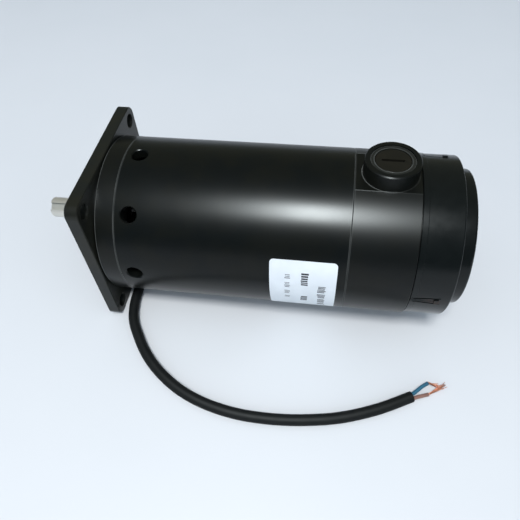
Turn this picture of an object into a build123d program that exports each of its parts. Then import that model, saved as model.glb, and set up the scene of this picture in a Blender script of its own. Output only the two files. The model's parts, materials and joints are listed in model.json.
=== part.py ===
from build123d import *
import math
import os

# A brushed permanent-magnet DC motor: square mounting flange, steel yoke with vents, brush
# housing with two capped brushes, clipped rear cover and a cable tail. Millimetres.
# The origin is the centre of the flange's front face, on the shaft axis. +X runs from the
# flange to the rear cover, +Z points up through one brush cap.
# An elevation is an angle about the shaft axis: 0 is -Y, 90 is +Z, -90 is -Z.

# ---- Driving dimensions ----
# Mounting flange and shaft end
flange_side = 105.0
flange_thickness = 8.0
flange_corner_r = 7.0
mount_spacing = 88.0
mount_hole_r = 4.5
pilot_r = 40.0
pilot_height = 3.0
shaft_r = 7.0
shaft_reach = 45.0
keyway_width = 5.0
keyway_depth = 3.0
keyway_length = 28.0
keyway_elevation = 48.5

# Casing, from front to rear
body_r = 52.0
yoke_bore_r = 46.0
yoke_start = 21.0
yoke_end = 161.0
brush_bell_end = 199.0
cover_start = 199.5
cover_r = 50.9
cover_step = 223.0
cover_step_r = 43.0
cover_end = 231.5
cover_wall = 1.9
vent_x = 30.0
vent_r = 5.0
vent_count = 8
edge_break = 0.5
seam_break = 0.3
fit_gap = 0.05
spigot_length = 4.0
pad_cut_margin = 4.0
pad_cut_depth = 4.0
overcut = 2.0

# Through bolts and flange screws
bolt_circle_r = 42.5
bolt_elevation = 70.0
bolt_r = 2.5
screw_circle_r = 46.5
screw_count = 4

# Rotor
core_start = 58.0
core_end = 138.0
core_r = 36.5
rotor_shaft_r = 9.0
slot_count = 25
commutator_r = 20.0
riser_r = 22.0
commutator_start = 164.0
commutator_end = 192.0
fan_r = 39.0

# Magnets
magnet_start = 48.0
magnet_end = 148.0
magnet_inner_r = 37.5
magnet_arc = 120.0

# Bearings: middle along the shaft, bore radius, outside radius, width, ball radius, balls
front_bearing = dict(middle=14.5, bore=7.5, outside=17.5, width=11.0, ball=2.96, balls=8)
rear_bearing = dict(middle=202.0, bore=6.0, outside=16.0, width=10.0, ball=2.96, balls=7)
ring_fit = 0.005
seat_fit = 0.02

# Brush gear, heights measured out from the shaft axis
brush_x = 181.5
flat_height = 49.4
boss_r = 16.3
boss_height = 59.6
boss_bore_r = 13.15
boss_floor = 46.0
sleeve_head_r = 13.1
sleeve_stem_r = 10.0
sleeve_foot = 27.0
sleeve_top = 58.9
cap_r = 10.4
cap_shank_r = 9.0
cap_seat = 55.0
cap_underside = 56.25
cap_top = 58.6
cap_shank_foot = 50.05
brush_length_x = 12.5
brush_width = 8.0
brush_back = 40.0
holder_foot = 23.0
holder_top = 48.0
button_foot = 49.0

# Type label, wrapped round the yoke
label_start = 115.5
label_end = 155.5
label_top_elevation = 23.3
label_bottom_elevation = -54.0
label_thickness = 0.2
label_corner_r = 2.5

# Cable tail, lying on the surface that the motor rests on
cable_r = 3.5
cable_core_r = 2.6
wire_r = 1.2
strand_bundle_r = 0.65
gland_x = 15.0
gland_elevation = -60.0
gland_hole_r = 4.6
wire_channel_width = 6.4
wire_channel_top_r = 45.5

# The motor stands on its flange's lower edge and on the lower brush boss, so it leans a little.
lean = (boss_height - flange_side / 2) / (brush_x - boss_r)

os.makedirs("parts", exist_ok=True)


# ---- Helpers ----
def polar(x, radius, elevation):
    """The point at a place along the shaft, a radius and an elevation."""
    angle = math.radians(elevation)
    return Vector(x, -radius * math.cos(angle), radius * math.sin(angle))


def radial_plane(x, elevation, radius=0.0):
    """A plane that faces outwards at a radius, with its own x along the shaft."""
    outwards = polar(0, 1, elevation)
    return Plane(origin=polar(x, radius, elevation), x_dir=(1, 0, 0), z_dir=outwards)


def outline(*points, elevation=180.0):
    """A closed face from (along, radius) points, in the half plane at an elevation."""
    outwards = polar(0, 1, elevation)
    section = Plane(origin=(0, 0, 0), x_dir=(1, 0, 0), z_dir=Vector(1, 0, 0).cross(outwards))
    with BuildSketch(section) as profile:
        with BuildLine():
            Polyline(*points, close=True)
        make_face()
    return profile.sketch


def on_floor(x, y, above):
    """A point at a height above the surface that the motor rests on."""
    return Vector(x, y, -flange_side / 2 - lean * x + above)


def bolt_angles():
    """The elevations of the two through bolts, half a turn apart."""
    return (bolt_elevation, bolt_elevation + 180)


def save(piece, name):
    """Labels a finished piece and writes it."""
    piece.part.label = name
    export_step(piece.part, f"parts/{name}.step")


def bent_path(corners, bend_radii):
    """Draws straight runs between corners, with a round bend of its own radius at each."""
    reached = corners[0]
    for before, corner, after, bend_r in zip(corners, corners[1:], corners[2:], bend_radii):
        into = (corner - before).normalized()
        onwards = (after - corner).normalized()
        setback = bend_r * math.tan(math.radians(into.get_angle(onwards)) / 2)
        Line(reached, corner - into * setback)
        reached = corner + onwards * setback
        TangentArc(corner - into * setback, reached, tangent=into)
    Line(reached, corners[-1])


def widest_bends(corners):
    """The radius of the roundest bend that fits at each inner corner."""
    radii = []
    for before, corner, after in zip(corners, corners[1:], corners[2:]):
        into = corner - before
        onwards = after - corner
        reach = 0.49 * min(into.length, onwards.length)
        radii.append(reach / math.tan(math.radians(into.get_angle(onwards)) / 2))
    return radii


def wire_along(corners, radius, bend_r):
    """A round wire through corners, with bends of one radius."""
    with BuildPart() as wire:
        with BuildLine() as route:
            bent_path(corners, [bend_r] * (len(corners) - 2))
        with BuildSketch(Plane(origin=route.line @ 0, z_dir=route.line % 0)):
            Circle(radius)
        sweep(path=route.line)
    return wire


# ---- Front casing ----
with BuildPart() as front_flange:
    with BuildSketch(Plane.YZ):
        RectangleRounded(flange_side, flange_side, flange_corner_r)
    extrude(amount=flange_thickness)
    chamfer(front_flange.edges().filter_by(Axis.X, reverse=True), edge_break)
    revolve(
        outline(
            (0, 0),
            (-pilot_height, 0),
            (-pilot_height, pilot_r - edge_break),
            (-pilot_height + edge_break, pilot_r),
            (0, pilot_r),
        ),
        axis=Axis.X,
    )
    seal_seat = (-pilot_height, 4.5, 12.0)
    shaft_passage_r = 8.5
    revolve(
        outline(
            (seal_seat[0], 0),
            (seal_seat[0], seal_seat[2]),
            (seal_seat[1], seal_seat[2]),
            (seal_seat[1], shaft_passage_r),
            (flange_thickness, shaft_passage_r),
            (flange_thickness, 0),
        ),
        axis=Axis.X,
        mode=Mode.SUBTRACT,
    )
    with BuildSketch(Plane.YZ):
        with GridLocations(mount_spacing, mount_spacing, 2, 2):
            Circle(mount_hole_r)
        with PolarLocations(screw_circle_r, screw_count, start_angle=45):
            Circle(bolt_r + fit_gap)
    extrude(amount=flange_thickness, mode=Mode.SUBTRACT)
    mount_rims = front_flange.edges().filter_by(GeomType.CIRCLE)
    chamfer(mount_rims.filter_by(lambda rim: abs(rim.radius - mount_hole_r) < 0.01), edge_break)
    with BuildSketch(Plane.YZ):
        with PolarLocations(screw_circle_r, screw_count, start_angle=45):
            Circle(2 * bolt_r)
    extrude(amount=bolt_r - fit_gap, taper=45, mode=Mode.SUBTRACT)
save(front_flange, "front_flange")

with BuildPart() as front_bell:
    neck_r = 50.0
    hub_r = 22.5
    rim_inner_r = 41.0
    web_end = 13.0
    seat_r = front_bearing["outside"] + seat_fit
    seat_end = front_bearing["middle"] + front_bearing["width"] / 2
    revolve(
        outline(
            (flange_thickness, seat_r),
            (flange_thickness, neck_r),
            (flange_thickness + 1, neck_r),
            (flange_thickness + 1, body_r - edge_break),
            (flange_thickness + 1 + edge_break, body_r),
            (yoke_start - seam_break, body_r),
            (yoke_start, body_r - seam_break),
            (yoke_start, yoke_bore_r - fit_gap),
            (yoke_start + spigot_length, yoke_bore_r - fit_gap),
            (yoke_start + spigot_length, rim_inner_r),
            (web_end, rim_inner_r),
            (web_end, hub_r),
            (seat_end + 2, hub_r),
            (seat_end + 2, seat_r - 2.5),
            (seat_end, seat_r - 2.5),
            (seat_end, seat_r),
        ),
        axis=Axis.X,
    )
    rib_count = 8
    rib_width = 3.0
    rib_depth = 5.0
    rib_height = rim_inner_r - hub_r + 1
    rim_end = yoke_start + spigot_length
    screw_hole_depth = 11.0
    with BuildSketch(Plane.YZ.offset(web_end)):
        with PolarLocations((rim_inner_r + hub_r) / 2, rib_count, start_angle=22.5):
            Rectangle(rib_height, rib_width)
    extrude(amount=rib_depth)
    for elevation in bolt_angles():
        with BuildSketch(Plane.YZ.offset(web_end)):
            centre = polar(0, bolt_circle_r, elevation)
            with Locations((centre.Y, centre.Z)):
                Circle(bolt_r)
        extrude(amount=yoke_start + spigot_length - web_end, mode=Mode.SUBTRACT)
    with BuildSketch(Plane.YZ.offset(flange_thickness)):
        with PolarLocations(screw_circle_r, screw_count, start_angle=45):
            Circle(bolt_r)
    extrude(amount=screw_hole_depth, mode=Mode.SUBTRACT)
    # The cable's hole, and a channel under it that lets the wires into the casing.
    with BuildSketch(radial_plane(gland_x, gland_elevation, wire_channel_top_r)):
        Circle(gland_hole_r)
    extrude(amount=body_r - wire_channel_top_r + overcut, mode=Mode.SUBTRACT)
    channel_length = rim_end + 1 - web_end
    with BuildSketch(radial_plane(web_end + channel_length / 2, gland_elevation, rim_inner_r - 2)):
        Rectangle(channel_length, wire_channel_width)
    extrude(amount=wire_channel_top_r - rim_inner_r + overcut, mode=Mode.SUBTRACT)
save(front_bell, "front_bell")

with BuildPart() as flange_screws:
    screw_r = bolt_r - fit_gap
    with BuildSketch(Plane.YZ.offset(0.2)):
        with PolarLocations(screw_circle_r, screw_count, start_angle=45):
            Circle(2 * screw_r - 0.2)
    extrude(amount=screw_r - 0.3, taper=45)
    with BuildSketch(Plane.YZ.offset(0.2)):
        with PolarLocations(screw_circle_r, screw_count, start_angle=45):
            Circle(screw_r)
    extrude(amount=17)
    with BuildSketch(Plane.YZ.offset(0.2)):
        with PolarLocations(screw_circle_r, screw_count, start_angle=45):
            RegularPolygon(1.5, 6, major_radius=False)
    extrude(amount=1.8, mode=Mode.SUBTRACT)
save(flange_screws, "flange_screws")

with BuildPart() as shaft_seal:
    lip_r = front_bearing["bore"] + fit_gap
    revolve(
        outline(
            (seal_seat[0] + 0.5, seal_seat[2] - fit_gap),
            (seal_seat[1], seal_seat[2] - fit_gap),
            (seal_seat[1], seal_seat[2] - 2),
            (1, seal_seat[2] - 2),
            (0.5, lip_r + 0.8),
            (-0.6, lip_r),
            (-1, lip_r),
            (seal_seat[0] + 0.5, lip_r + 1.2),
        ),
        axis=Axis.X,
    )
save(shaft_seal, "shaft_seal")

with BuildPart() as preload_washer:
    washer_start = flange_thickness + 0.2
    washer_end = washer_start + 0.6
    washer_inner_r = 14.2
    washer_outer_r = 17.2
    revolve(
        outline(
            (washer_start, washer_inner_r),
            (washer_start, washer_outer_r),
            (washer_end, washer_outer_r),
            (washer_end, washer_inner_r),
        ),
        axis=Axis.X,
    )
save(preload_washer, "preload_washer")


# ---- Yoke and magnets ----
with BuildPart() as yoke_tube:
    revolve(
        outline(
            (yoke_start, yoke_bore_r),
            (yoke_start, body_r - seam_break),
            (yoke_start + seam_break, body_r),
            (yoke_end - seam_break, body_r),
            (yoke_end, body_r - seam_break),
            (yoke_end, yoke_bore_r),
        ),
        axis=Axis.X,
    )
    for place in range(vent_count):
        vent_plane = radial_plane(vent_x, place * 360 / vent_count, yoke_bore_r - 2)
        with BuildSketch(vent_plane):
            Circle(vent_r)
        extrude(amount=body_r - yoke_bore_r + 4, mode=Mode.SUBTRACT)
        with BuildSketch(vent_plane.offset(body_r - yoke_bore_r + 2.2)):
            Circle(vent_r + 0.9)
        extrude(amount=-0.9, taper=45, mode=Mode.SUBTRACT)
save(yoke_tube, "yoke_tube")


def magnet(name, middle_elevation):
    """One ferrite arc bonded inside the yoke."""
    with BuildPart() as arc:
        revolve(
            outline(
                (magnet_start, magnet_inner_r),
                (magnet_start, yoke_bore_r - fit_gap),
                (magnet_end, yoke_bore_r - fit_gap),
                (magnet_end, magnet_inner_r),
                elevation=middle_elevation + magnet_arc / 2,
            ),
            axis=Axis.X,
            revolution_arc=magnet_arc,
        )
        corners = arc.edges().filter_by(Axis.X)
        inner_corners = corners.sort_by(lambda e: math.hypot(e.center().Y, e.center().Z))[:2]
        chamfer(inner_corners, 1.0)
    save(arc, name)


magnet("magnet_near", 0)
magnet("magnet_far", 180)


# ---- Brush housing and rear cover ----
with BuildPart() as brush_bell:
    cavity_r = 44.0
    wall_start = 193.0
    cover_rim_r = 49.0
    cover_rim_end = brush_bell_end + 5
    rear_hub_r = 21.0
    rear_seat_r = rear_bearing["outside"] + seat_fit
    rear_seat_start = rear_bearing["middle"] - rear_bearing["width"] / 2
    rear_hub_end = 208.0
    rear_passage_r = 10.0
    rim_wall = 1.5
    revolve(
        outline(
            (yoke_end - spigot_length, cavity_r),
            (yoke_end - spigot_length, yoke_bore_r - fit_gap),
            (yoke_end, yoke_bore_r - fit_gap),
            (yoke_end, body_r - seam_break),
            (yoke_end + seam_break, body_r),
            (brush_bell_end - seam_break, body_r),
            (brush_bell_end, body_r - seam_break),
            (brush_bell_end, cover_rim_r - fit_gap),
            (cover_rim_end, cover_rim_r - fit_gap),
            (cover_rim_end, cover_rim_r - rim_wall),
            (brush_bell_end, cover_rim_r - rim_wall),
            (brush_bell_end, rear_hub_r),
            (rear_hub_end, rear_hub_r),
            (rear_hub_end, rear_seat_r),
            (rear_seat_start, rear_seat_r),
            (rear_seat_start, rear_passage_r),
            (wall_start, rear_passage_r),
            (wall_start, cavity_r),
        ),
        axis=Axis.X,
    )
    bell_middle = (yoke_end + brush_bell_end) / 2
    for side in (1, -1):
        with BuildSketch(Plane.XY.offset(side * flat_height)):
            with Locations((bell_middle, 0)):
                Rectangle(brush_bell_end - yoke_end, 2 * (boss_r + pad_cut_margin))
        extrude(amount=side * pad_cut_depth, mode=Mode.SUBTRACT)
        with BuildSketch(Plane.XY.offset(side * (boss_floor - 3))):
            with Locations((brush_x, 0)):
                Circle(boss_r)
        extrude(amount=side * (boss_height - boss_floor + 3))
        boss_rim = brush_bell.faces().sort_by(Axis.Z)[-1 if side > 0 else 0].edges()
        chamfer(boss_rim, 0.6)
        with BuildSketch(Plane.XY.offset(side * boss_floor)):
            with Locations((brush_x, 0)):
                Circle(boss_bore_r)
        extrude(amount=side * (boss_height - boss_floor), mode=Mode.SUBTRACT)
        with BuildSketch(Plane.XY.offset(side * (boss_floor - 8))):
            with Locations((brush_x, 0)):
                Circle(sleeve_stem_r + fit_gap)
        extrude(amount=side * 8, mode=Mode.SUBTRACT)
    for elevation in bolt_angles():
        with BuildSketch(Plane.YZ.offset(yoke_end - 5)):
            centre = polar(0, bolt_circle_r, elevation)
            with Locations((centre.Y, centre.Z)):
                Circle(bolt_r + 0.1)
        extrude(amount=brush_bell_end - yoke_end + 5, mode=Mode.SUBTRACT)
save(brush_bell, "brush_bell")

with BuildPart() as through_bolts:
    head_r = 4.25
    for elevation in bolt_angles():
        centre = polar(0, bolt_circle_r, elevation)
        with BuildSketch(Plane.YZ.offset(web_end + 1)):
            with Locations((centre.Y, centre.Z)):
                Circle(bolt_r - fit_gap)
        extrude(amount=brush_bell_end - web_end - 1)
        with BuildSketch(Plane.YZ.offset(brush_bell_end)):
            with Locations((centre.Y, centre.Z)):
                Circle(head_r)
        extrude(amount=5)
        with BuildSketch(Plane.YZ.offset(brush_bell_end + 2.5)):
            with Locations((centre.Y, centre.Z)):
                RegularPolygon(2, 6, major_radius=False)
        extrude(amount=2.5, mode=Mode.SUBTRACT)
save(through_bolts, "through_bolts")

with BuildPart() as rear_cover:
    lip_proud = 0.3
    lip_end = cover_start + 3.2
    bore_r = cover_r - cover_wall
    edge_round = 1.0
    revolve(
        outline(
            (cover_start, cover_rim_r + fit_gap),
            (cover_start, cover_r + lip_proud - 0.2),
            (cover_start + 0.2, cover_r + lip_proud),
            (lip_end, cover_r + lip_proud),
            (lip_end + lip_proud, cover_r),
            (cover_step, cover_r),
            (cover_step, cover_step_r),
            (cover_end, cover_step_r),
            (cover_end, 0),
            (cover_end - cover_wall, 0),
            (cover_end - cover_wall, cover_step_r - cover_wall),
            (cover_step - cover_wall, cover_step_r - cover_wall),
            (cover_step - cover_wall, bore_r),
            (cover_rim_end + 0.5, bore_r),
            (cover_rim_end + 0.2, cover_rim_r + fit_gap),
        ),
        axis=Axis.X,
    )
    step_edges = rear_cover.edges().filter_by(GeomType.CIRCLE)
    outer_step = step_edges.filter_by(lambda e: abs(e.radius - cover_r) < 0.01).sort_by(Axis.X)[-1]
    outer_end = step_edges.filter_by(lambda e: abs(e.radius - cover_step_r) < 0.01).sort_by(Axis.X)
    fillet(outer_step, edge_round)
    fillet(outer_end[0], edge_round)
    fillet(outer_end[-1], 1.4)
    tongue_count = 3
    tongue_middle = -4.0
    slit_width = 0.9
    slit_half_length = 7.75
    tongue_tip = 1.1
    tongue_root = 2.5
    for place in range(tongue_count):
        elevation = tongue_middle + place * 360 / tongue_count
        middle_x = cover_start + 2 + slit_half_length
        with BuildSketch(radial_plane(middle_x, elevation, bore_r - 3)):
            for side in (1, -1):
                with BuildLine():
                    Polyline(
                        (-slit_half_length, side * tongue_tip),
                        (slit_half_length, side * tongue_root),
                        (slit_half_length, side * (tongue_root + slit_width)),
                        (-slit_half_length, side * (tongue_tip + slit_width)),
                        close=True,
                    )
                make_face()
        extrude(amount=6, mode=Mode.SUBTRACT)
        with BuildSketch(radial_plane(middle_x + slit_half_length - 2.2, elevation, bore_r + 0.5)):
            RectangleRounded(2.8, 3.6, 0.6)
        extrude(amount=cover_wall + 0.3)
save(rear_cover, "rear_cover")


# ---- Bearings ----
def ball_bearing(name, middle, bore, outside, width, ball, balls):
    """A deep-groove bearing: two rings, balls, a window cage and two shields."""
    pitch = (bore + outside) / 2
    land = 0.66 * ball
    start = middle - width / 2
    end = middle + width / 2
    groove_r = ball + 0.03

    with BuildPart() as outer_ring:
        revolve(
            outline(
                (start, pitch + land),
                (start, outside - 0.6),
                (start + 0.6, outside),
                (end - 0.6, outside),
                (end, outside - 0.6),
                (end, pitch + land),
            ),
            axis=Axis.X,
        )
        with BuildSketch(Plane.XY):
            with Locations((middle, pitch)):
                Circle(groove_r)
        revolve(axis=Axis.X, mode=Mode.SUBTRACT)
    save(outer_ring, f"{name}_outer_ring")

    with BuildPart() as inner_ring:
        revolve(
            outline(
                (start, bore + ring_fit),
                (start, pitch - land),
                (end, pitch - land),
                (end, bore + ring_fit),
            ),
            axis=Axis.X,
        )
        with BuildSketch(Plane.XY):
            with Locations((middle, pitch)):
                Circle(groove_r)
        revolve(axis=Axis.X, mode=Mode.SUBTRACT)
    save(inner_ring, f"{name}_inner_ring")

    with BuildPart() as cage:
        revolve(
            outline(
                (middle - 3.8, pitch - 0.8),
                (middle - 3.8, pitch + 0.8),
                (middle + 3.8, pitch + 0.8),
                (middle + 3.8, pitch - 0.8),
            ),
            axis=Axis.X,
        )
        for place in range(balls):
            with BuildSketch(radial_plane(middle, 180 - place * 360 / balls, pitch - 2)):
                Circle(ball + 0.05)
            extrude(amount=4, mode=Mode.SUBTRACT)
    save(cage, f"{name}_cage")

    with BuildPart() as ball_set:
        with Locations(Plane.YZ.offset(middle)):
            with PolarLocations(pitch, balls):
                Sphere(ball)
    save(ball_set, f"{name}_balls")

    with BuildPart() as shields:
        for face_x in (start + 0.3, end - 0.8):
            revolve(
                outline(
                    (face_x, pitch - land + 0.15),
                    (face_x, pitch + land - fit_gap),
                    (face_x + 0.5, pitch + land - fit_gap),
                    (face_x + 0.5, pitch - land + 0.15),
                ),
                axis=Axis.X,
            )
    save(shields, f"{name}_shields")


ball_bearing("front_bearing", **front_bearing)
ball_bearing("rear_bearing", **rear_bearing)


# ---- Rotor ----
with BuildPart() as shaft:
    front_shoulder = front_bearing["middle"] + front_bearing["width"] / 2
    front_step = -4.0
    rear_shoulder = 193.5
    rear_step_r = 7.5
    tail_end = 212.0
    clip_start = 207.2
    clip_width = 1.1
    clip_floor_r = 5.5
    revolve(
        outline(
            (-shaft_reach, 0),
            (-shaft_reach, shaft_r - 1),
            (-shaft_reach + 1, shaft_r),
            (front_step, shaft_r),
            (front_step, front_bearing["bore"]),
            (front_shoulder, front_bearing["bore"]),
            (front_shoulder, rotor_shaft_r),
            (rear_shoulder, rotor_shaft_r),
            (rear_shoulder, rear_step_r),
            (rear_seat_start, rear_step_r),
            (rear_seat_start, rear_bearing["bore"]),
            (clip_start, rear_bearing["bore"]),
            (clip_start, clip_floor_r),
            (clip_start + clip_width, clip_floor_r),
            (clip_start + clip_width, rear_bearing["bore"]),
            (tail_end - edge_break, rear_bearing["bore"]),
            (tail_end, rear_bearing["bore"] - edge_break),
            (tail_end, 0),
        ),
        axis=Axis.X,
    )
    runout = 4.0
    keyway_middle = -shaft_reach + (keyway_length - runout) / 2
    with BuildSketch(radial_plane(keyway_middle, keyway_elevation, shaft_r - keyway_depth)):
        SlotOverall(keyway_length + runout, keyway_width)
    extrude(amount=keyway_depth + 1, mode=Mode.SUBTRACT)
save(shaft, "shaft")

with BuildPart() as shaft_circlip:
    clip_outer_r = 8.5
    revolve(
        outline(
            (clip_start + fit_gap, clip_floor_r + fit_gap),
            (clip_start + fit_gap, clip_outer_r),
            (clip_start + clip_width - fit_gap, clip_outer_r),
            (clip_start + clip_width - fit_gap, clip_floor_r + fit_gap),
        ),
        axis=Axis.X,
        revolution_arc=320,
    )
save(shaft_circlip, "shaft_circlip")


def lamination():
    """The slotted disc that the core is stacked from."""
    with BuildSketch(Plane.YZ) as disc:
        Circle(core_r)
        Circle(rotor_shaft_r + fit_gap, mode=Mode.SUBTRACT)
        with PolarLocations(0, slot_count):
            Polygon(
                (22, -1.2),
                (34.3, -2.6),
                (34.3, -0.9),
                (37.5, -0.9),
                (37.5, 0.9),
                (34.3, 0.9),
                (34.3, 2.6),
                (22, 1.2),
                align=None,
                mode=Mode.SUBTRACT,
            )
    return disc.sketch


end_disc_thickness = 1.2
with BuildPart() as armature_core:
    extrude(Pos(core_start, 0, 0) * lamination(), amount=core_end - core_start)
save(armature_core, "armature_core")

with BuildPart() as core_end_discs:
    for face_x in (core_start - end_disc_thickness, core_end):
        extrude(Pos(face_x, 0, 0) * lamination(), amount=end_disc_thickness)
save(core_end_discs, "core_end_discs")

with BuildPart() as armature_winding:
    with BuildSketch(Plane.YZ.offset(core_start - 6)):
        with PolarLocations(0, slot_count):
            Polygon((22.4, -0.95), (33.7, -2.2), (33.7, 2.2), (22.4, 0.95), align=None)
    extrude(amount=core_end - core_start + 12)
    overhang_height = 19.0
    for face_x, overhang in ((core_start - 14, 12), (core_end + 2, 15)):
        with BuildSketch(Plane.XY):
            with Locations((face_x + overhang / 2, rotor_shaft_r + 6.5 + overhang_height / 2)):
                RectangleRounded(overhang, overhang_height, 4)
        revolve(axis=Axis.X)
    with BuildSketch(Plane.YZ.offset(core_end + 10)):
        with PolarLocations(riser_r - 1.2, slot_count):
            Circle(0.7)
    extrude(amount=commutator_start - core_end - 10)
save(armature_winding, "armature_winding")

with BuildPart() as slot_wedges:
    with BuildSketch(Plane.YZ.offset(core_start - 1)):
        with PolarLocations(35.1, slot_count):
            Rectangle(1.4, 1.7)
    extrude(amount=core_end - core_start + 2)
save(slot_wedges, "slot_wedges")

with BuildPart() as commutator_hub:
    hub_top_r = 12.5
    fin_top_r = commutator_r - 0.8
    fin_width = 0.74
    revolve(
        outline(
            (commutator_start - 1, rotor_shaft_r + fit_gap),
            (commutator_start - 1, hub_top_r),
            (commutator_end + 1, hub_top_r),
            (commutator_end + 1, rotor_shaft_r + fit_gap),
        ),
        axis=Axis.X,
    )
    with BuildSketch(Plane.YZ.offset(commutator_start)):
        with PolarLocations((hub_top_r + fin_top_r) / 2, slot_count, start_angle=180 / slot_count):
            Rectangle(fin_top_r - hub_top_r + 0.6, fin_width)
    extrude(amount=commutator_end - commutator_start)
save(commutator_hub, "commutator_hub")

with BuildPart() as commutator_bars:
    riser_end = commutator_start + 4
    revolve(
        outline(
            (commutator_start, hub_top_r + fit_gap),
            (commutator_start, riser_r),
            (riser_end, riser_r),
            (riser_end, commutator_r),
            (commutator_end, commutator_r),
            (commutator_end, hub_top_r + fit_gap),
        ),
        axis=Axis.X,
    )
    with BuildSketch(Plane.YZ.offset(commutator_start - 1)):
        with PolarLocations((hub_top_r + riser_r) / 2, slot_count, start_angle=180 / slot_count):
            Rectangle(riser_r - hub_top_r + 4, 0.8)
    extrude(amount=commutator_end - commutator_start + 2, mode=Mode.SUBTRACT)
save(commutator_bars, "commutator_bars")

with BuildPart() as cooling_fan:
    fan_start = 26.0
    fan_end = 39.0
    plate = 1.6
    fan_hub_r = 15.0
    blade_count = 11
    revolve(
        outline(
            (fan_start, rotor_shaft_r + fit_gap),
            (fan_start, fan_hub_r),
            (fan_end - plate, fan_hub_r),
            (fan_end - plate, fan_r),
            (fan_end, fan_r),
            (fan_end, rotor_shaft_r + fit_gap),
        ),
        axis=Axis.X,
    )
    with BuildSketch(Plane.YZ.offset(fan_start + 1)):
        with PolarLocations((fan_hub_r + fan_r) / 2, blade_count):
            Rectangle(fan_r - fan_hub_r - 0.4, plate)
    extrude(amount=fan_end - plate - fan_start - 1)
save(cooling_fan, "cooling_fan")


# ---- Brush gear, once at the top and once below ----
def brush_plane(side, height=0.0):
    """A plane across a brush's axis at a height out from the shaft axis."""
    return Plane(origin=(brush_x, 0, side * height), x_dir=(1, 0, 0), z_dir=(0, 0, side))


def brush_gear(side, name):
    """Sleeve, holder, brush, spring, pigtail, contact button, seal and cap of one brush."""
    with BuildPart() as sleeve:
        with BuildSketch(brush_plane(side, sleeve_foot)):
            Circle(sleeve_stem_r)
        extrude(amount=boss_floor - sleeve_foot)
        with BuildSketch(brush_plane(side, boss_floor)):
            Circle(sleeve_head_r)
        extrude(amount=sleeve_top - boss_floor)
        chamfer(sleeve.faces().sort_by(Axis.Z)[-1 if side > 0 else 0].edges(), 0.3)
        with BuildSketch(brush_plane(side, sleeve_foot)):
            Rectangle(brush_length_x + 2.2, brush_width + 2.2)
        extrude(amount=holder_top - sleeve_foot, mode=Mode.SUBTRACT)
        with BuildSketch(brush_plane(side, holder_top)):
            Circle(cap_shank_r + 0.1)
        extrude(amount=sleeve_top - holder_top, mode=Mode.SUBTRACT)
        with BuildSketch(brush_plane(side, cap_seat)):
            Circle(cap_r + 0.15)
        extrude(amount=sleeve_top - cap_seat, mode=Mode.SUBTRACT)
    save(sleeve, f"brush_sleeve_{name}")

    with BuildPart() as holder:
        with BuildSketch(brush_plane(side, holder_foot)):
            Rectangle(brush_length_x + 2.1, brush_width + 2.1)
            Rectangle(brush_length_x + 0.1, brush_width + 0.1, mode=Mode.SUBTRACT)
        extrude(amount=holder_top - holder_foot)
        with BuildSketch(brush_plane(side, holder_foot + 1)):
            with Locations((-brush_length_x / 2 - 3.5, 0)):
                Rectangle(5, 5)
        extrude(amount=0.8)
    save(holder, f"brush_holder_{name}")

    with BuildPart() as brush:
        with BuildSketch(brush_plane(side, commutator_r - 2)):
            Rectangle(brush_length_x, brush_width)
        extrude(amount=brush_back - commutator_r + 2)
        chamfer(brush.faces().sort_by(Axis.Z)[-1 if side > 0 else 0].edges(), 0.6)
        with BuildSketch(Plane.YZ.offset(brush_x - brush_length_x)):
            Circle(commutator_r + 0.04)
        extrude(amount=2 * brush_length_x, mode=Mode.SUBTRACT)
    save(brush, f"brush_{name}")

    spring_wire_r = 0.4
    spring_mean_r = 3.2
    spring_turns = 6
    spring_foot = brush_back + spring_wire_r + 0.1
    spring_height = button_foot - spring_wire_r - 0.1 - spring_foot
    with BuildPart() as spring:
        with BuildLine() as coil:
            Helix(
                pitch=spring_height / spring_turns,
                height=spring_height,
                radius=spring_mean_r,
                center=(brush_x, 0, side * spring_foot),
                direction=(0, 0, side),
            )
        with BuildSketch(Plane(origin=coil.line @ 0, z_dir=coil.line % 0)):
            Circle(spring_wire_r)
        sweep(path=coil.line, is_frenet=True)
    save(spring, f"brush_spring_{name}")

    with BuildPart() as pigtail:
        with BuildSketch(brush_plane(side, brush_back)):
            Circle(0.6)
        extrude(amount=button_foot - brush_back)
    save(pigtail, f"brush_pigtail_{name}")

    with BuildPart() as button:
        with BuildSketch(brush_plane(side, button_foot)):
            Circle(5)
        extrude(amount=1)
    save(button, f"brush_button_{name}")

    with BuildPart() as cap_seal:
        with BuildSketch(Plane(origin=(brush_x, 0, 0), x_dir=(1, 0, 0), z_dir=(0, -side, 0))):
            with Locations((cap_shank_r + 0.75, (cap_seat + cap_underside) / 2)):
                Circle(0.58)
        revolve(axis=Axis((brush_x, 0, 0), (0, 0, side)))
    save(cap_seal, f"cap_seal_{name}")

    with BuildPart() as cap:
        with BuildSketch(brush_plane(side, cap_shank_foot)):
            Circle(cap_shank_r)
        extrude(amount=cap_underside - cap_shank_foot)
        with BuildSketch(brush_plane(side, cap_underside)):
            Circle(cap_r)
        extrude(amount=cap_top - cap_underside)
        chamfer(cap.faces().sort_by(Axis.Z)[-1 if side > 0 else 0].edges(), 0.35)
        thread_pitch = 1.5
        for turn in range(3):
            with BuildSketch(brush_plane(side, cap_shank_foot + 0.8 + turn * thread_pitch)):
                Circle(cap_shank_r + 1)
                Circle(cap_shank_r - 0.6, mode=Mode.SUBTRACT)
            extrude(amount=thread_pitch / 2, mode=Mode.SUBTRACT)
        with BuildSketch(brush_plane(side, cap_top - 1.6)):
            Rectangle(13, 1.8)
        extrude(amount=1.6, mode=Mode.SUBTRACT)
    save(cap, f"brush_cap_{name}")


brush_gear(1, "top")
brush_gear(-1, "bottom")


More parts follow.
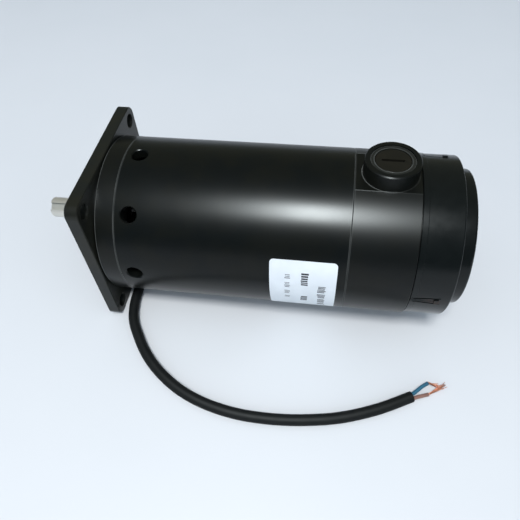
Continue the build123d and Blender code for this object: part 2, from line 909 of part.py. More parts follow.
# ---- Type label ----
with BuildPart() as type_label:
    label_r = body_r + 0.02
    revolve(
        outline(
            (label_start, label_r),
            (label_start, label_r + label_thickness),
            (label_end, label_r + label_thickness),
            (label_end, label_r),
            elevation=label_top_elevation,
        ),
        axis=Axis.X,
        revolution_arc=label_top_elevation - label_bottom_elevation,
    )
    label_corners = type_label.edges().filter_by(GeomType.LINE)
    fillet(label_corners.filter_by(lambda e: e.length < 2 * label_thickness), label_corner_r)
save(type_label, "type_label")


# ---- Cable tail ----
gland_middle = polar(gland_x, (yoke_bore_r + body_r) / 2, gland_elevation)
gland_direction = polar(0, 1, gland_elevation)
jacket_inset = 2.5
floor_clearance = cable_r + 0.05
gland_drop = (gland_middle.Z - on_floor(gland_x, 0, floor_clearance).Z) / -gland_direction.Z
cable_corners = [
    gland_middle - gland_direction * jacket_inset,
    gland_middle + gland_direction * gland_drop,
    on_floor(14.7, -39.4, floor_clearance),
    on_floor(17.8, -56.1, floor_clearance),
    on_floor(36.2, -84.7, floor_clearance),
    on_floor(63.5, -104.7, floor_clearance),
    on_floor(95.1, -113.7, floor_clearance),
    on_floor(129.6, -114.0, floor_clearance),
    on_floor(163.9, -107.9, floor_clearance),
    on_floor(189.4, -97.9, floor_clearance),
    on_floor(209, -87, floor_clearance),
]
cable_bend_radii = widest_bends(cable_corners)

with BuildPart() as cable_filler:
    with BuildLine() as cable_line:
        bent_path(cable_corners, cable_bend_radii)
    with BuildSketch(Plane(origin=cable_line.line @ 0, z_dir=cable_line.line % 0)):
        Circle(cable_core_r - fit_gap)
    sweep(path=cable_line.line)
save(cable_filler, "cable_filler")

with BuildPart() as power_cable:
    with BuildLine() as jacket_line:
        bent_path(cable_corners, cable_bend_radii)
    with BuildSketch(Plane(origin=jacket_line.line @ 0, z_dir=jacket_line.line % 0)):
        Circle(cable_r)
        Circle(cable_core_r, mode=Mode.SUBTRACT)
    sweep(path=jacket_line.line)
save(power_cable, "power_cable")

with BuildPart() as cable_grommet:
    flange_r = 5.5
    flange_height = 1.6
    plug_foot_r = wire_channel_top_r + 0.5
    flange_sheet = outline(
        (gland_x - flange_r - 1, body_r + 0.02),
        (gland_x - flange_r - 1, body_r + flange_height),
        (gland_x + flange_r + 1, body_r + flange_height),
        (gland_x + flange_r + 1, body_r + 0.02),
        elevation=gland_elevation + 15,
    )
    revolve(flange_sheet, axis=Axis.X, revolution_arc=30)
    with BuildSketch(radial_plane(gland_x, gland_elevation, body_r - 3)):
        Circle(flange_r)
    extrude(amount=8, mode=Mode.INTERSECT)
    with BuildSketch(radial_plane(gland_x, gland_elevation, plug_foot_r)):
        Circle(gland_hole_r - fit_gap)
    extrude(amount=body_r + 1 - plug_foot_r)
    with BuildLine() as passage_line:
        bent_path([gland_middle - gland_direction * 6, *cable_corners[1:4]], cable_bend_radii[:2])
    with BuildSketch(Plane(origin=passage_line.line @ 0, z_dir=gland_direction)):
        Circle(cable_r + 0.1)
    sweep(path=passage_line.line, mode=Mode.SUBTRACT)
save(cable_grommet, "cable_grommet")

# The two insulated wires leave the jacket, and their stripped ends show bare copper.
tail_end_point = cable_line.line @ 1
tail_direction = cable_line.line % 1
tail_left = Vector(0, 0, 1).cross(tail_direction).normalized()
wire_offset = tail_left * 1.3 + tail_direction.cross(tail_left) * 0.4
wire_gap = 0.3
wire_bend_r = 5
strip_gap = 0.1
strand_bend_r = 3

blue_strip = on_floor(219.5, -76.8, cable_r + 1.2)
blue_bend = on_floor(215.6, -79.8, cable_r + 1)
blue_start = tail_end_point + wire_offset + tail_direction * wire_gap
blue_route = [blue_start, blue_start + tail_direction * 2, blue_bend, blue_strip]
save(wire_along(blue_route, wire_r, wire_bend_r), "wire_blue")

brown_strip = on_floor(220, -83.2, cable_r - 1.5)
brown_bend = on_floor(215.4, -85.2, cable_r - 1)
brown_start = tail_end_point - wire_offset + tail_direction * wire_gap
brown_route = [brown_start, brown_start + tail_direction * 2, brown_bend, brown_strip]
save(wire_along(brown_route, wire_r, wire_bend_r), "wire_brown")

blue_end_direction = (blue_strip - blue_bend).normalized()
blue_bare = [blue_strip + blue_end_direction * strip_gap, blue_strip + blue_end_direction * 2]
blue_bare += [on_floor(224.2, -76.4, 4), on_floor(227, -77.5, 2.6)]
save(wire_along(blue_bare, strand_bundle_r, strand_bend_r), "strands_blue")

brown_end_direction = (brown_strip - brown_bend).normalized()
brown_bare = [brown_strip + brown_end_direction * strip_gap, brown_strip + brown_end_direction * 3]
brown_bare += [on_floor(226, -79.6, 2.4), on_floor(231.5, -75.4, 3.2)]
save(wire_along(brown_bare, strand_bundle_r, strand_bend_r), "strands_brown")

# Inside the motor the leads run through the lower gap between the magnets to the holders.
lead_r = yoke_bore_r - 3.7
lead_bend_r = 2
lead_run_start = 46
lead_run_end = 152
lead_ring_x = 163
lead_ring_r = 38.0
lead_ring_elevations = (-60, -30, 0, 30, 60)
lead_entry = cable_line.line @ 0
entry_direction = -gland_direction
entry_offset = Vector(1, 0, 0).cross(gland_direction) * 1.3
entry_step = entry_direction * wire_gap
entry_reach = entry_direction * 3.3
blue_turn_x = 27
brown_turn_x = 30
tab_x = brush_x - brush_length_x / 2 - 5
tab_height = holder_foot + 1.8 + wire_r + 0.1

blue_entry = lead_entry + entry_offset
lead_blue_route = [
    blue_entry + entry_step,
    blue_entry + entry_reach,
    blue_entry + entry_reach + Vector(blue_turn_x - gland_x, 0, 0),
    polar(lead_run_start, lead_r, -88),
    polar(lead_run_end, lead_r, -88),
    polar(lead_ring_x, lead_ring_r - 2, -91),
    Vector(tab_x, 0, -tab_height),
]
save(wire_along(lead_blue_route, wire_r, lead_bend_r), "lead_blue")

brown_entry = lead_entry - entry_offset
lead_brown_route = [
    brown_entry + entry_step,
    brown_entry + entry_reach,
    brown_entry + entry_reach + Vector(brown_turn_x - gland_x, 0, 0),
    polar(lead_run_start, lead_r, -78),
    polar(lead_run_end, lead_r, -78),
]
lead_brown_route += [polar(lead_ring_x, lead_ring_r, ring_at) for ring_at in lead_ring_elevations]
lead_brown_route += [polar(lead_ring_x, lead_ring_r - 4, 83), Vector(tab_x, 0, tab_height)]
save(wire_along(lead_brown_route, wire_r, lead_bend_r), "lead_brown")
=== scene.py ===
"""Looks of the electric motor: finishes, frayed cable ends, label print, springs, table, light and camera."""

import json
import math
import random

import bmesh
import bpy
from mathutils import Matrix, Vector


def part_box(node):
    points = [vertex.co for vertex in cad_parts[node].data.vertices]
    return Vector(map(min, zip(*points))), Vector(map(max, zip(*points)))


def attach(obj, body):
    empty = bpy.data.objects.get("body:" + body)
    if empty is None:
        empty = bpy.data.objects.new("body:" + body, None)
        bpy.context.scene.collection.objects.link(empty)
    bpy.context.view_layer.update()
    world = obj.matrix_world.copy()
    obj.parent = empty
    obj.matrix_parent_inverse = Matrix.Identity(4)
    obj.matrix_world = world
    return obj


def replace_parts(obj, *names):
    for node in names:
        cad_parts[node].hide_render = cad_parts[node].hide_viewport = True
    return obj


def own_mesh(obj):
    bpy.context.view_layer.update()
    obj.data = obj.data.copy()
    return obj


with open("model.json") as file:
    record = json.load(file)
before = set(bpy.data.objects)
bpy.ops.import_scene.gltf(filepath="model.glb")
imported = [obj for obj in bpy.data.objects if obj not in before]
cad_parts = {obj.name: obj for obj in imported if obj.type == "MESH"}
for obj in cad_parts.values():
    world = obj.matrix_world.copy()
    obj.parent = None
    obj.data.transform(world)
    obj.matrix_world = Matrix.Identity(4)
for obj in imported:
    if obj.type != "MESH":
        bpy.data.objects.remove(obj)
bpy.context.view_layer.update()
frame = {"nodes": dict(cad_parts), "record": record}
nodes = frame["nodes"]

MM = 0.001

# Sockets of a Mix node in colour mode.
FIRST_COLOR, SECOND_COLOR, MIXED_COLOR = 6, 7, 2

# Places on the motor, read from the frame, in metres.
flange_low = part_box("front_flange")[0]
front_bell_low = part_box("front_bell")[0]
yoke_low, yoke_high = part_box("yoke_tube")
bell_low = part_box("brush_bell")[0]
label_low, label_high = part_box("type_label")
cap_low, cap_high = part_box("brush_cap_top")
body_r = yoke_high.y
brush_x = (cap_low.x + cap_high.x) / 2
boss_r = 16.3 * MM
pad_height = 49.4 * MM
pad_half_width = math.sqrt(body_r**2 - pad_height**2)


# ---- Finishes ----
class Finish:
    """A procedural material under construction. Its pattern is laid out in millimetres."""

    def __init__(self, name, color, roughness, metallic=0.0, specular=0.5, coat=0.0):
        self.material = bpy.data.materials.new(name)
        self.material.use_nodes = True
        self.tree = self.material.node_tree
        self.shader = self.tree.nodes["Principled BSDF"]
        self.set("Base Color", (*color, 1))
        self.set("Roughness", roughness)
        self.set("Metallic", metallic)
        self.set("Specular IOR Level", specular)
        self.set("Coat Weight", coat)
        self.set("Coat Roughness", 0.12)
        self.color = (*color, 1)
        self.place = self.node("ShaderNodeTexCoord").outputs["Object"]

    def node(self, kind, **settings):
        made = self.tree.nodes.new(kind)
        for key, value in settings.items():
            setattr(made, key, value)
        return made

    def set(self, key, value):
        self.shader.inputs[key].default_value = value

    def link(self, source, target):
        self.tree.links.new(source, target)

    def drive(self, key, source):
        self.link(source, self.shader.inputs[key])

    def math(self, operation, *values, clamp=False):
        """A maths node over sockets and numbers."""
        made = self.node("ShaderNodeMath", operation=operation, use_clamp=clamp)
        for socket, value in zip(made.inputs, values):
            if isinstance(value, (int, float)):
                socket.default_value = value
            else:
                self.link(value, socket)
        return made.outputs[0]

    def noise(self, size_mm, stretch=(1, 1, 1), detail=3.0, roughness=0.5):
        """Noise whose features are about size_mm across, longer along an axis by its stretch."""
        mapping = self.node("ShaderNodeMapping")
        mapping.inputs["Scale"].default_value = [1 / (size_mm * MM * s) for s in stretch]
        self.link(self.place, mapping.inputs["Vector"])
        texture = self.node("ShaderNodeTexNoise")
        texture.inputs["Scale"].default_value = 1
        texture.inputs["Detail"].default_value = detail
        texture.inputs["Roughness"].default_value = roughness
        self.link(mapping.outputs[0], texture.inputs["Vector"])
        return texture.outputs["Fac"]

    def spread(self, source, low, high, to_low, to_high):
        """Maps a value from one range to another, smoothly and clamped."""
        made = self.node("ShaderNodeMapRange", interpolation_type="SMOOTHSTEP")
        for key, value in zip(("From Min", "From Max", "To Min", "To Max"), (low, high, to_low, to_high)):
            made.inputs[key].default_value = value
        self.link(source, made.inputs["Value"])
        return made.outputs[0]

    def mix(self, factor, first, second):
        """A colour between two, each a socket or a colour."""
        made = self.node("ShaderNodeMix", data_type="RGBA")
        self.link(factor, made.inputs["Factor"])
        for socket, value in ((made.inputs[FIRST_COLOR], first), (made.inputs[SECOND_COLOR], second)):
            if isinstance(value, tuple):
                socket.default_value = value
            else:
                self.link(value, socket)
        return made.outputs[MIXED_COLOR]

    def along(self, axis):
        """The place along an axis, in metres."""
        split = self.node("ShaderNodeSeparateXYZ")
        self.link(self.place, split.inputs[0])
        return split.outputs[axis]

    def line_at(self, axis, centre, half_width_mm):
        """1 on a thin line across an axis, fading to 0 beside it."""
        offset = self.math("ABSOLUTE", self.math("SUBTRACT", self.along(axis), centre))
        return self.spread(offset, half_width_mm * MM * 0.4, half_width_mm * MM, 1, 0)

    def bump(self, height, depth_mm):
        """Adds relief of a depth; several stack on one another."""
        made = self.node("ShaderNodeBump")
        made.inputs["Strength"].default_value = 1
        made.inputs["Distance"].default_value = depth_mm * MM
        self.link(height, made.inputs["Height"])
        before = self.shader.inputs["Normal"].links
        if before:
            self.link(before[0].from_socket, made.inputs["Normal"])
        self.drive("Normal", made.outputs[0])

    def mottle(self, size_mm, other, low=0.35, high=0.65, stretch=(1, 1, 1)):
        """Varies the colour towards another one in soft patches."""
        patches = self.spread(self.noise(size_mm, stretch), low, high, 0, 1)
        self.drive("Base Color", self.mix(patches, self.current_color(), (*other, 1)))

    def current_color(self):
        links = self.shader.inputs["Base Color"].links
        return links[0].from_socket if links else self.color

    def uneven(self, size_mm, low, high, stretch=(1, 1, 1)):
        """Varies the roughness between two values."""
        self.drive("Roughness", self.spread(self.noise(size_mm, stretch), 0.3, 0.7, low, high))


# Pale grey for worn paint at seams and for painted highlights on seam, pad and rim edges.
WEAR_AND_HIGHLIGHT = (0.085, 0.092, 0.090, 1)


def brush_reach(paint):
    """The distance from the brushes' common axis."""
    along = paint.math("SUBTRACT", paint.along("X"), brush_x)
    across = paint.along("Y")
    squares = [paint.math("MULTIPLY", offset, offset) for offset in (along, across)]
    return paint.math("SQRT", paint.math("ADD", *squares))


def pad_edges(paint):
    """Thin pale lines round each brush pad and boss, painted highlights on their edges, strongest towards the
    shaft end.
    """
    pad_band, side_line, foot_line = 0.35 * MM, 0.28 * MM, 0.3 * MM
    foot_r = boss_r + 0.4 * MM
    strong, faint = 0.8, 0.12
    height = paint.math("ABSOLUTE", paint.along("Z"))
    at_pad = paint.math("COMPARE", height, pad_height, pad_band)
    side = paint.math("COMPARE", paint.math("ABSOLUTE", paint.along("Y")), pad_half_width, side_line)
    foot = paint.math("COMPARE", brush_reach(paint), foot_r, foot_line)
    forward = paint.spread(paint.along("X"), brush_x - 12 * MM, brush_x + 10 * MM, strong, faint)
    at_pad = paint.math("MULTIPLY", at_pad, forward)
    return [paint.math("MULTIPLY", at_pad, line) for line in (side, foot)]


def black_paint(name, color, warm, roughness, specular, seams=(), streak=0.0, pads=False):
    """Satin black paint: fine orange peel, faint tone patches, and thin pale lines at seams that are worn
    paint and painted highlights on the seam edges.
    """
    paint = Finish(name, color, roughness, specular=specular)
    paint.mottle(18, warm)
    # Pale lines at the seams: worn paint and painted highlights on the seam edges.
    for seam, strength in seams:
        pale_line = paint.line_at("X", seam, 0.55)
        patches = paint.spread(paint.noise(9), 0.3, 0.7, strength * 0.6, strength)
        patchy = paint.math("MULTIPLY", pale_line, patches)
        paint.drive("Base Color", paint.mix(patchy, paint.current_color(), WEAR_AND_HIGHLIGHT))
    # Painted highlights along the pad and boss edges.
    for line in pad_edges(paint) if pads else ():
        paint.drive("Base Color", paint.mix(line, paint.current_color(), WEAR_AND_HIGHLIGHT))
    paint.uneven(25, roughness - 0.008, roughness + 0.008)
    paint.bump(paint.noise(0.5, detail=2), 0.006)
    if streak:
        paint.bump(paint.noise(0.35, stretch=(1, 60, 60), detail=2), streak)
    return paint.material


def turned_metal(name, color, roughness, depth=0.0008, metallic=1.0):
    """Machined metal with fine rings round the shaft's axis."""
    metal = Finish(name, color, roughness, metallic=metallic)
    stretch = (1, 40, 40)
    metal.bump(metal.noise(0.25, stretch=stretch, detail=3), depth)
    metal.uneven(2, roughness - 0.02, roughness + 0.03, stretch=stretch)
    metal.mottle(9, tuple(c * 0.94 for c in color))
    return metal.material


def plain_metal(name, color, roughness, grain_mm=0.6):
    """Metal with a slightly uneven skin."""
    metal = Finish(name, color, roughness, metallic=1.0)
    metal.mottle(3, tuple(c * 0.8 for c in color))
    metal.uneven(grain_mm * 3, roughness - 0.05, roughness + 0.08)
    metal.bump(metal.noise(grain_mm), 0.004)
    return metal.material


def moulded(name, color, roughness, other=None, grain_mm=0.4, depth=0.008, specular=0.5):
    """Plastic, resin, rubber or another pressed material with a moulded skin."""
    plastic = Finish(name, color, roughness, specular=specular)
    plastic.mottle(7, other or tuple(c * 1.25 for c in color))
    plastic.uneven(8, roughness - 0.015, roughness + 0.02)
    plastic.bump(plastic.noise(grain_mm, detail=2), depth)
    return plastic.material


def sleeve_resin(name):
    """Black resin whose turned rims, inside and outside the mouth of a brush sleeve, carry painted highlights
    as pale rings.
    """
    resin = Finish(name, (0.010, 0.0115, 0.011), 0.3, specular=0.4)
    resin.mottle(7, (0.013, 0.014, 0.013))
    reach = brush_reach(resin)
    # Painted highlights: pale rings on the turned rims.
    for rim_mm in (10.9, 12.9):
        rim = resin.math("COMPARE", reach, rim_mm * MM, 0.3 * MM)
        pale_line = resin.math("MULTIPLY", rim, resin.spread(resin.noise(6), 0.3, 0.7, 0.25, 0.6))
        resin.drive("Base Color", resin.mix(pale_line, resin.current_color(), WEAR_AND_HIGHLIGHT))
    resin.uneven(8, 0.28, 0.34)
    resin.bump(resin.noise(0.4, detail=2), 0.006)
    return resin.material


def wave_scale(pitch_mm):
    """The scale at which a wave texture's bands repeat every pitch_mm."""
    return 1 / (pitch_mm * MM) / 20 * math.pi


def lamination_sheets(name):
    """The turned edge of a stack of thin sheets, 0.5 mm each along the shaft."""
    stack = Finish(name, (0.24, 0.235, 0.23), 0.42, metallic=1.0)
    wave = stack.node("ShaderNodeTexWave", wave_type="BANDS", bands_direction="X")
    wave.inputs["Scale"].default_value = wave_scale(0.5)
    stack.link(stack.place, wave.inputs["Vector"])
    stack.bump(wave.outputs["Fac"], 0.02)
    stack.mottle(5, (0.16, 0.13, 0.11))
    return stack.material


def enamelled_wire(name):
    """Copper winding: strands laid side by side under varnish."""
    wire = Finish(name, (0.42, 0.13, 0.045), 0.28, metallic=0.85, coat=0.6)
    wave = wire.node("ShaderNodeTexWave", wave_type="BANDS", bands_direction="DIAGONAL")
    wave.inputs["Scale"].default_value = wave_scale(0.9)
    wave.inputs["Distortion"].default_value = 1.2
    wire.link(wire.place, wave.inputs["Vector"])
    wire.bump(wave.outputs["Fac"], 0.15)
    wire.mottle(4, (0.25, 0.07, 0.025))
    return wire.material


def printed_film(name, color):
    """White label film: faint creases and a satin surface."""
    film = Finish(name, color, 0.42, specular=0.4)
    film.mottle(12, tuple(c * 0.95 for c in color))
    film.uneven(5, 0.36, 0.5)
    film.bump(film.noise(6, detail=2), 0.01)
    return film.material


seam_front = front_bell_low.x + 1 * MM
bell_look = dict(color=(0.0030, 0.0040, 0.0040), warm=(0.0042, 0.0048, 0.0038), roughness=0.34, specular=0.2)
finishes = {
    # The flange has the same black paint as the bell; its lighter, warmer colour here is painted light for
    # the light its faces catch.
    "flange_paint": black_paint(
        "flange_paint", (0.0085, 0.0100, 0.0092), (0.0110, 0.0116, 0.0085), 0.32, 0.2
    ),
    # Pale seam and pad lines in the bell, tube and housing paints: worn paint and painted highlights.
    "bell_paint": black_paint(
        "bell_paint", **bell_look, seams=((seam_front + 0.3 * MM, 0.9), (yoke_low.x - 0.2 * MM, 0.55))
    ),
    "housing_paint": black_paint(
        "housing_paint", **bell_look, seams=((yoke_high.x + 0.2 * MM, 0.4),), pads=True
    ),
    "tube_paint": black_paint(
        "tube_paint",
        (0.0026, 0.0038, 0.0040),
        (0.0040, 0.0048, 0.0040),
        0.30,
        0.18,
        seams=((yoke_low.x + 0.2 * MM, 0.3), (yoke_high.x - 0.2 * MM, 0.5)),
        streak=0.004,
    ),
    "cover_plastic": moulded(
        "cover_plastic",
        (0.0035, 0.0048, 0.0050),
        0.21,
        other=(0.0042, 0.0056, 0.0058),
        grain_mm=0.7,
        depth=0.002,
        specular=0.24,
    ),
    "ground_steel": turned_metal("ground_steel", (0.66, 0.65, 0.60), 0.3, metallic=0.7),
    "plated_steel": plain_metal("plated_steel", (0.55, 0.55, 0.53), 0.3),
    "spring_steel": plain_metal("spring_steel", (0.42, 0.42, 0.43), 0.26),
    "bearing_steel": turned_metal("bearing_steel", (0.62, 0.62, 0.63), 0.12, depth=0.001),
    "lamination_steel": lamination_sheets("lamination_steel"),
    "winding_copper": enamelled_wire("winding_copper"),
    "hard_copper": turned_metal("hard_copper", (0.66, 0.33, 0.2), 0.24),
    "bare_copper": plain_metal("bare_copper", (0.78, 0.36, 0.24), 0.34, grain_mm=0.3),
    "holder_brass": plain_metal("holder_brass", (0.66, 0.47, 0.2), 0.3),
    "carbon_brush": moulded("carbon_brush", (0.02, 0.02, 0.021), 0.55, grain_mm=0.3, depth=0.02),
    "ferrite": moulded("ferrite", (0.03, 0.03, 0.032), 0.5, grain_mm=0.5, depth=0.02),
    "moulded_resin": sleeve_resin("moulded_resin"),
    "cap_bakelite": moulded(
        "cap_bakelite", (0.0062, 0.0058, 0.0042), 0.32, other=(0.0085, 0.0075, 0.0052), specular=0.3
    ),
    "insulation_card": moulded("insulation_card", (0.45, 0.36, 0.2), 0.6, grain_mm=0.8, depth=0.03),
    "fan_plastic": moulded("fan_plastic", (0.03, 0.03, 0.033), 0.45),
    "cage_polyamide": moulded("cage_polyamide", (0.5, 0.44, 0.3), 0.45),
    "seal_rubber": moulded("seal_rubber", (0.012, 0.012, 0.012), 0.6, specular=0.3),
    "cable_jacket": moulded(
        "cable_jacket",
        (0.0042, 0.0055, 0.0060),
        0.58,
        other=(0.0056, 0.0068, 0.0072),
        grain_mm=0.5,
        depth=0.02,
        specular=0.16,
    ),
    "filler_pvc": moulded("filler_pvc", (0.62, 0.60, 0.56), 0.6, grain_mm=0.3, depth=0.03),
    "blue_pvc": moulded("blue_pvc", (0.018, 0.085, 0.145), 0.35, other=(0.025, 0.12, 0.19), specular=0.4),
    "brown_pvc": moulded("brown_pvc", (0.16, 0.085, 0.07), 0.35, other=(0.23, 0.125, 0.10), specular=0.4),
    "label_film": printed_film("label_film", (0.66, 0.715, 0.765)),
    "label_ink": moulded("label_ink", (0.02, 0.022, 0.028), 0.5, grain_mm=0.5, depth=0.004),
}
paint_of_node = {"front_flange": "flange_paint", "front_bell": "bell_paint", "brush_bell": "housing_paint"}
paint_of_slot = {"painted_steel": "tube_paint", "cast_black": "bell_paint"}


def finish_cad_nodes():
    """Gives every carried-over node its finish, from the record's material slots."""
    for part in frame["record"]["subparts"]:
        node, slot = part["node"], part["material_slot"]
        finish = paint_of_node.get(node) or paint_of_slot.get(slot, slot)
        mesh = nodes[node].data
        mesh.materials.clear()
        mesh.materials.append(finishes[finish])


finish_cad_nodes()


# ---- Mesh helpers ----
def new_piece(name, mesh_data, finish, body):
    """Turns a bmesh into a shown piece that rides on a body."""
    mesh = bpy.data.meshes.new(name)
    mesh_data.normal_update()
    mesh_data.to_mesh(mesh)
    mesh_data.free()
    for face in mesh.polygons:
        face.use_smooth = True
    piece = bpy.data.objects.new(name, mesh)
    bpy.context.scene.collection.objects.link(piece)
    mesh.materials.append(finishes[finish])
    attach(piece, body)
    return piece


def add_tube(mesh, points, radius, sides=8):
    """Adds a closed round tube along points, with pointed ends."""
    tangents = []
    for i in range(len(points)):
        tangents.append((points[min(i + 1, len(points) - 1)] - points[max(i - 1, 0)]).normalized())
    side = tangents[0].orthogonal().normalized()
    rings = []
    for point, tangent in zip(points, tangents):
        side = (side - tangent * side.dot(tangent)).normalized()
        up = tangent.cross(side)
        ring = []
        for k in range(sides):
            angle = 2 * math.pi * k / sides
            ring.append(mesh.verts.new(point + (side * math.cos(angle) + up * math.sin(angle)) * radius))
        rings.append(ring)
    for first, second in zip(rings, rings[1:]):
        for k in range(sides):
            mesh.faces.new((first[k], first[(k + 1) % sides], second[(k + 1) % sides], second[k]))
    for ring, tangent, point, flip in (
        (rings[0], -tangents[0], points[0], True),
        (rings[-1], tangents[-1], points[-1], False),
    ):
        tip = mesh.verts.new(point + tangent * radius * 0.5)
        for k in range(sides):
            corners = (ring[k], ring[(k + 1) % sides], tip)
            mesh.faces.new(corners[::-1] if flip else corners)


def smooth_path(points, steps):
    """Points along a smooth curve through the given ones (Catmull-Rom)."""
    ends = [points[0] * 2 - points[1], *points, points[-1] * 2 - points[-2]]
    out = []
    for a, b, c, d in zip(ends, ends[1:], ends[2:], ends[3:]):
        for k in range(steps):
            t = k / steps
            square, cube = (2 * a - 5 * b + 4 * c - d) * t * t, (3 * b - a - 3 * c + d) * t**3
            out.append(0.5 * (2 * b + (c - a) * t + square + cube))
    out.append(points[-1].copy())
    return out


# ---- Label print: generic bars, no lettering ----
def add_bar(mesh, x_low, x_high, angle_low, angle_high, r_low, r_high, steps=3):
    """Adds a thin curved bar on the label, between two places along the shaft and two elevations."""
    rings = []
    for k in range(steps + 1):
        angle = angle_low + (angle_high - angle_low) * k / steps
        outwards = Vector((0, -math.cos(angle), math.sin(angle)))
        ring = []
        for x, r in ((x_low, r_low), (x_high, r_low), (x_high, r_high), (x_low, r_high)):
            ring.append(mesh.verts.new(Vector((x, 0, 0)) + outwards * r))
        rings.append(ring)
    for first, second in zip(rings, rings[1:]):
        for k in range(4):
            mesh.faces.new((first[k], second[k], second[(k + 1) % 4], first[(k + 1) % 4]))
    mesh.faces.new(rings[0])
    mesh.faces.new(rings[-1][::-1])


def label_print():
    """Three rows of bars round the body, the middle row heavier."""
    draw = random.Random(4)
    mesh = bmesh.new()
    label_r = body_r + 0.2 * MM
    ink_low_r, ink_high_r = label_r - 0.02 * MM, label_r + 0.03 * MM
    width = label_high.x - label_low.x
    for place, height_mm, bar_mm, gap_mm, top, words, word_gap_mm in (
        (0.27, 3.6, 0.5, 0.8, 12, (3, 4, 3, 2), 2.6),
        (0.53, 4.8, 1.2, 0.55, 14, (6, 4), 11.5),
        (0.79, 5.2, 0.8, 0.55, 3, (5, 4, 5, 3), 1.3),
    ):
        middle = label_low.x + width * place
        angle = math.radians(top)
        for letters in words:
            for _ in range(letters):
                turn = bar_mm * MM * draw.uniform(0.8, 1.2) / label_r
                near = height_mm * MM * draw.uniform(0.36, 0.5)
                far = height_mm * MM * draw.uniform(0.36, 0.5)
                add_bar(mesh, middle - near, middle + far, angle - turn, angle, ink_low_r, ink_high_r)
                angle -= turn + gap_mm * MM / label_r
            angle -= word_gap_mm * MM / label_r
    bmesh.ops.recalc_face_normals(mesh, faces=mesh.faces)
    new_piece("label_print", mesh, "label_ink", "stator")


label_print()


# ---- Frayed copper strands ----
def strands(name, node, start, heading, count, length_mm, seed, spread_mm):
    """A bundle of fine copper wires, one in the middle and two rings round it, open towards its tip."""
    wire_r_mm = 0.16
    inner_ring, inner_ring_mm, outer_ring_mm = 6, 0.28, 0.52
    twist_turn = 2.2
    path_steps = 6
    draw = random.Random(seed)
    mesh = bmesh.new()
    side = heading.cross(Vector((0, 0, 1))).normalized()
    up = side.cross(heading).normalized()
    for k in range(count):
        inside = k <= inner_ring
        ring = 0 if k == 0 else (inner_ring_mm if inside else outer_ring_mm)
        angle = 2 * math.pi * k / (inner_ring if inside else max(count - inner_ring - 1, 1))
        offset = (side * math.cos(angle) + up * math.sin(angle)) * ring * MM
        flare = (side * draw.uniform(-1, 1) + up * draw.uniform(-0.35, 0.8)) * spread_mm * MM
        reach = length_mm * MM * draw.uniform(0.75, 1.0)
        points = []
        for step in range(path_steps + 1):
            t = step / path_steps
            twist = offset * math.cos(twist_turn * t) + heading.cross(offset) * math.sin(twist_turn * t)
            points.append(start + heading * reach * t + twist + flare * t * t)
        add_tube(mesh, smooth_path(points, 3), wire_r_mm * MM, sides=6)
    bmesh.ops.recalc_face_normals(mesh, faces=mesh.faces)
    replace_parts(new_piece(name, mesh, "bare_copper", "stator"), node)


def node_ends(node):
    """The middle points of a round bar's two ends, the one nearer the motor's tail last."""
    near_end = 0.6 * MM
    vertices = [v.co for v in nodes[node].data.vertices]
    axis_low, axis_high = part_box(node)
    first = [v for v in vertices if v.x < axis_low.x + near_end]
    last = [v for v in vertices if v.x > axis_high.x - near_end]
    return sum(first, Vector()) / len(first), sum(last, Vector()) / len(last)


for color, count, seed, spread in (("blue", 16, 7, 1.3), ("brown", 18, 11, 1.5)):
    start, end = node_ends(f"strands_{color}")
    strands(
        f"copper_strands_{color}",
        f"strands_{color}",
        start,
        (end - start).normalized(),
        count,
        (end - start).length / MM,
        seed,
        spread,
    )


# ---- Brush springs and flexible leads ----
def brush_spring(side, sign):
    """A compression spring with closed ends."""
    low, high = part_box(f"brush_spring_{side}")
    wire_r = 0.4 * MM
    mean_r = (high.x - low.x) / 2 - wire_r
    foot, head = (low.z + wire_r, high.z - wire_r)
    turns, steps = 7, 26
    closed_turns = 0.8
    closed_height = 2.1 * wire_r
    points = []
    for k in range(turns * steps + 1):
        t = k / (turns * steps)
        rise = min(max((t * turns - closed_turns) / (turns - 2 * closed_turns), 0), 1)
        flat = min(t * turns, closed_turns) + max(t * turns - turns + closed_turns, 0)
        height = foot + closed_height * flat / (2 * closed_turns) + rise * (head - foot - closed_height)
        angle = 2 * math.pi * turns * t * sign
        points.append(Vector((brush_x + mean_r * math.cos(angle), mean_r * math.sin(angle), height)))
    mesh = bmesh.new()
    add_tube(mesh, points, wire_r, sides=10)
    bmesh.ops.recalc_face_normals(mesh, faces=mesh.faces)
    piece = new_piece(f"coil_spring_{side}", mesh, "spring_steel", "stator")
    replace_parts(piece, f"brush_spring_{side}")
    return piece


def brush_lead(side):
    """A flexible copper braid of twisted strands through the middle of the spring."""
    low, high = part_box(f"brush_pigtail_{side}")
    mesh = bmesh.new()
    strand_count, turns, steps = 6, 3, 48
    braid_r_mm, strand_r_mm = 0.38, 0.2
    for strand in range(strand_count):
        points = []
        for k in range(steps + 1):
            t = k / steps
            angle = 2 * math.pi * (turns * t + strand / strand_count)
            offset = Vector((math.cos(angle), math.sin(angle), 0)) * braid_r_mm * MM
            points.append(Vector((brush_x, 0, low.z + (high.z - low.z) * (0.02 + 0.96 * t))) + offset)
        add_tube(mesh, points, strand_r_mm * MM, sides=6)
    bmesh.ops.recalc_face_normals(mesh, faces=mesh.faces)
    piece = new_piece(f"brush_lead_{side}", mesh, "bare_copper", "stator")
    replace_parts(piece, f"brush_pigtail_{side}")
    return piece


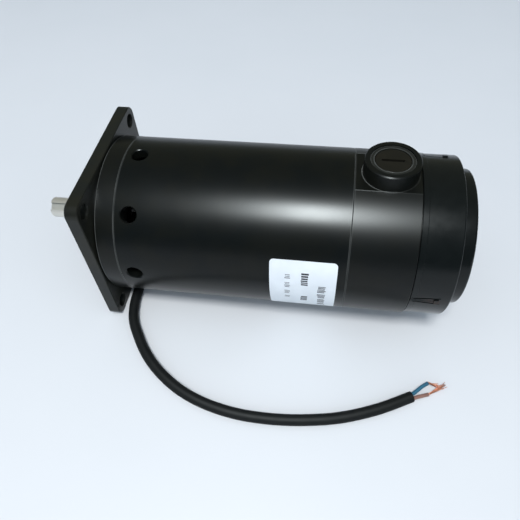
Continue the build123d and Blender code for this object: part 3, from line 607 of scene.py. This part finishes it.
for side, sign in (("top", 1), ("bottom", -1)):
    for piece in (brush_spring(side, sign), brush_lead(side)):
        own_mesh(piece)


# ---- Table ----
def table_top():
    """A pale table that the motor leans on: its flange's lower edge and its lower brush boss."""
    boss_near = brush_x - boss_r
    lean = (bell_low.z - flange_low.z) / boss_near
    half_size = 4.0
    mesh = bmesh.new()
    corners = []
    for side_x, side_y in ((-1, -1), (1, -1), (1, 1), (-1, 1)):
        x, y = side_x * half_size, side_y * half_size
        corners.append(mesh.verts.new((x, y, flange_low.z + lean * x)))
    mesh.faces.new(corners)
    data = bpy.data.meshes.new("table")
    mesh.to_mesh(data)
    mesh.free()
    table = bpy.data.objects.new("table", data)
    bpy.context.scene.collection.objects.link(table)
    surface = Finish("table_surface", (0.63, 0.665, 0.70), 0.55, specular=0.25)
    surface.mottle(160, (0.62, 0.657, 0.693))
    surface.uneven(30, 0.5, 0.6)
    data.materials.append(surface.material)


table_top()


# ---- Light ----
def area_light(name, direction, target, distance, width, height, power, color):
    """A soft light at a distance from a place on the motor, facing it."""
    data = bpy.data.lights.new(name, "AREA")
    data.shape = "RECTANGLE"
    data.size, data.size_y = width, height
    data.energy = power
    data.color = color
    lamp = bpy.data.objects.new(name, data)
    bpy.context.scene.collection.objects.link(lamp)
    direction = Vector(direction).normalized()
    lamp.location = target + direction * distance
    across = Vector((1, 0, 0))
    up = direction.cross(across).normalized()
    across = up.cross(direction).normalized()
    lamp.rotation_euler = Matrix((across, up, direction)).transposed().to_euler()
    return lamp


window_direction = (-0.006, -0.44, 0.90)
window_target = Vector((0.131, -0.03, 0.042))
# The key lights only matt response, and the sheen only shows in reflections.
key = area_light("key", window_direction, window_target, 1.5, 0.28, 0.28, 18.8, (1, 0.97, 0.94))
key.visible_glossy = False
sheen = area_light("sheen", window_direction, window_target, 0.75, 0.1, 0.25, 14.9, (0.91, 0.985, 1))
sheen.visible_diffuse = False


def studio_world():
    """A fill for matt surfaces and a dim room for reflections, each graded from front to back."""
    world = bpy.data.worlds.new("studio")
    bpy.context.scene.world = world
    world.use_nodes = True
    tree = world.node_tree
    background = tree.nodes["Background"]
    split = tree.nodes.new("ShaderNodeSeparateXYZ")
    tree.links.new(tree.nodes.new("ShaderNodeTexCoord").outputs["Generated"], split.inputs[0])
    turn = tree.nodes.new("ShaderNodeMapRange")
    turn.inputs["From Min"].default_value = -0.4
    turn.inputs["From Max"].default_value = 0.5
    tree.links.new(split.outputs["Y"], turn.inputs["Value"])

    def graded(front, back):
        made = tree.nodes.new("ShaderNodeMix")
        made.data_type = "RGBA"
        made.inputs[FIRST_COLOR].default_value = front
        made.inputs[SECOND_COLOR].default_value = back
        tree.links.new(turn.outputs[0], made.inputs["Factor"])
        return made.outputs[MIXED_COLOR]

    fill = graded((0.85, 0.94, 1.04, 1), (0.30, 0.33, 0.37, 1))
    room = graded((0.05, 0.078, 0.088, 1), (0.19, 0.20, 0.155, 1))
    both = tree.nodes.new("ShaderNodeMix")
    both.data_type = "RGBA"
    tree.links.new(tree.nodes.new("ShaderNodeLightPath").outputs["Is Glossy Ray"], both.inputs["Factor"])
    tree.links.new(fill, both.inputs[FIRST_COLOR])
    tree.links.new(room, both.inputs[SECOND_COLOR])
    tree.links.new(both.outputs[MIXED_COLOR], background.inputs["Color"])
    background.inputs["Strength"].default_value = 1


studio_world()


# ---- Camera ----
def camera():
    """A camera above and in front of the motor, rolled slightly."""
    data = bpy.data.cameras.new("camera")
    data.sensor_width = 36
    data.lens = 35.18
    place = Vector((0.14559, -0.23352, 0.24931))
    right = Vector((0.98948, 0.13865, -0.04138))
    down = Vector((0.08154, -0.77061, -0.63206))
    view = bpy.data.objects.new("camera", data)
    bpy.context.scene.collection.objects.link(view)
    up = -down.normalized()
    right = (right - up * right.dot(up)).normalized()
    view.matrix_world = Matrix.Translation(place) @ Matrix((right, up, right.cross(up))).transposed().to_4x4()
    bpy.context.scene.camera = view


camera()
bpy.context.scene.view_settings.view_transform = "Standard"
bpy.context.scene.view_settings.look = "None"
